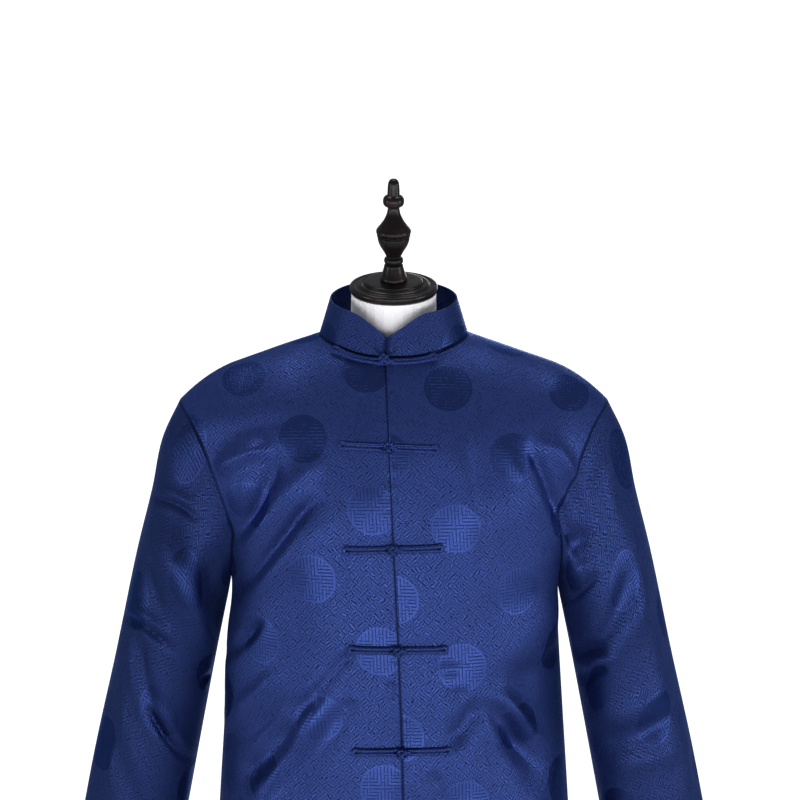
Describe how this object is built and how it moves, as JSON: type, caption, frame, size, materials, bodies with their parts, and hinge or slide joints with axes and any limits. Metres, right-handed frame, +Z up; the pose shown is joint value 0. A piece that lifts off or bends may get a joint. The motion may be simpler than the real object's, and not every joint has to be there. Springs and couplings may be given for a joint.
{
  "type": "burial robe on a limbless dress form",
  "caption": "Hip-length satin burial robe with a stand collar, set-in sleeves and knotted frogs, worn by a limbless dress form on a pole and round base.",
  "frame": {"origin": "middle of the base's underside, on the floor", "axes": "+Z up, the robe's front faces -Y, the wearer's left is +X"},
  "size_m": [0.731, 0.38, 1.6364],
  "materials": {
    "blue_satin": "satin jacquard with tone-on-tone medallions",
    "blue_satin_cord": "bias-folded satin cord",
    "form_cover": "plain off-white stretch cover",
    "black_lacquer": "turned wood with gloss black lacquer",
    "black_painted_steel": "satin black paint"
  },
  "bodies": {
    "root": {"front_left": "blue_satin", "front_right": "blue_satin", "back": "blue_satin", "sleeve_left": "blue_satin", "sleeve_right": "blue_satin", "collar": "blue_satin", "frog_1_knot": "blue_satin_cord", "frog_1_loop": "blue_satin_cord", "frog_2_knot": "blue_satin_cord", "frog_2_loop": "blue_satin_cord", "frog_3_knot": "blue_satin_cord", "frog_3_loop": "blue_satin_cord", "frog_4_knot": "blue_satin_cord", "frog_4_loop": "blue_satin_cord", "frog_5_knot": "blue_satin_cord", "frog_5_loop": "blue_satin_cord", "frog_6_knot": "blue_satin_cord", "frog_6_loop": "blue_satin_cord", "frog_7_knot": "blue_satin_cord", "frog_7_loop": "blue_satin_cord", "form": "form_cover", "neck_cap": "black_lacquer", "finial": "black_lacquer", "pole": "black_painted_steel", "base": "black_painted_steel"}
  },
  "joints": []
}
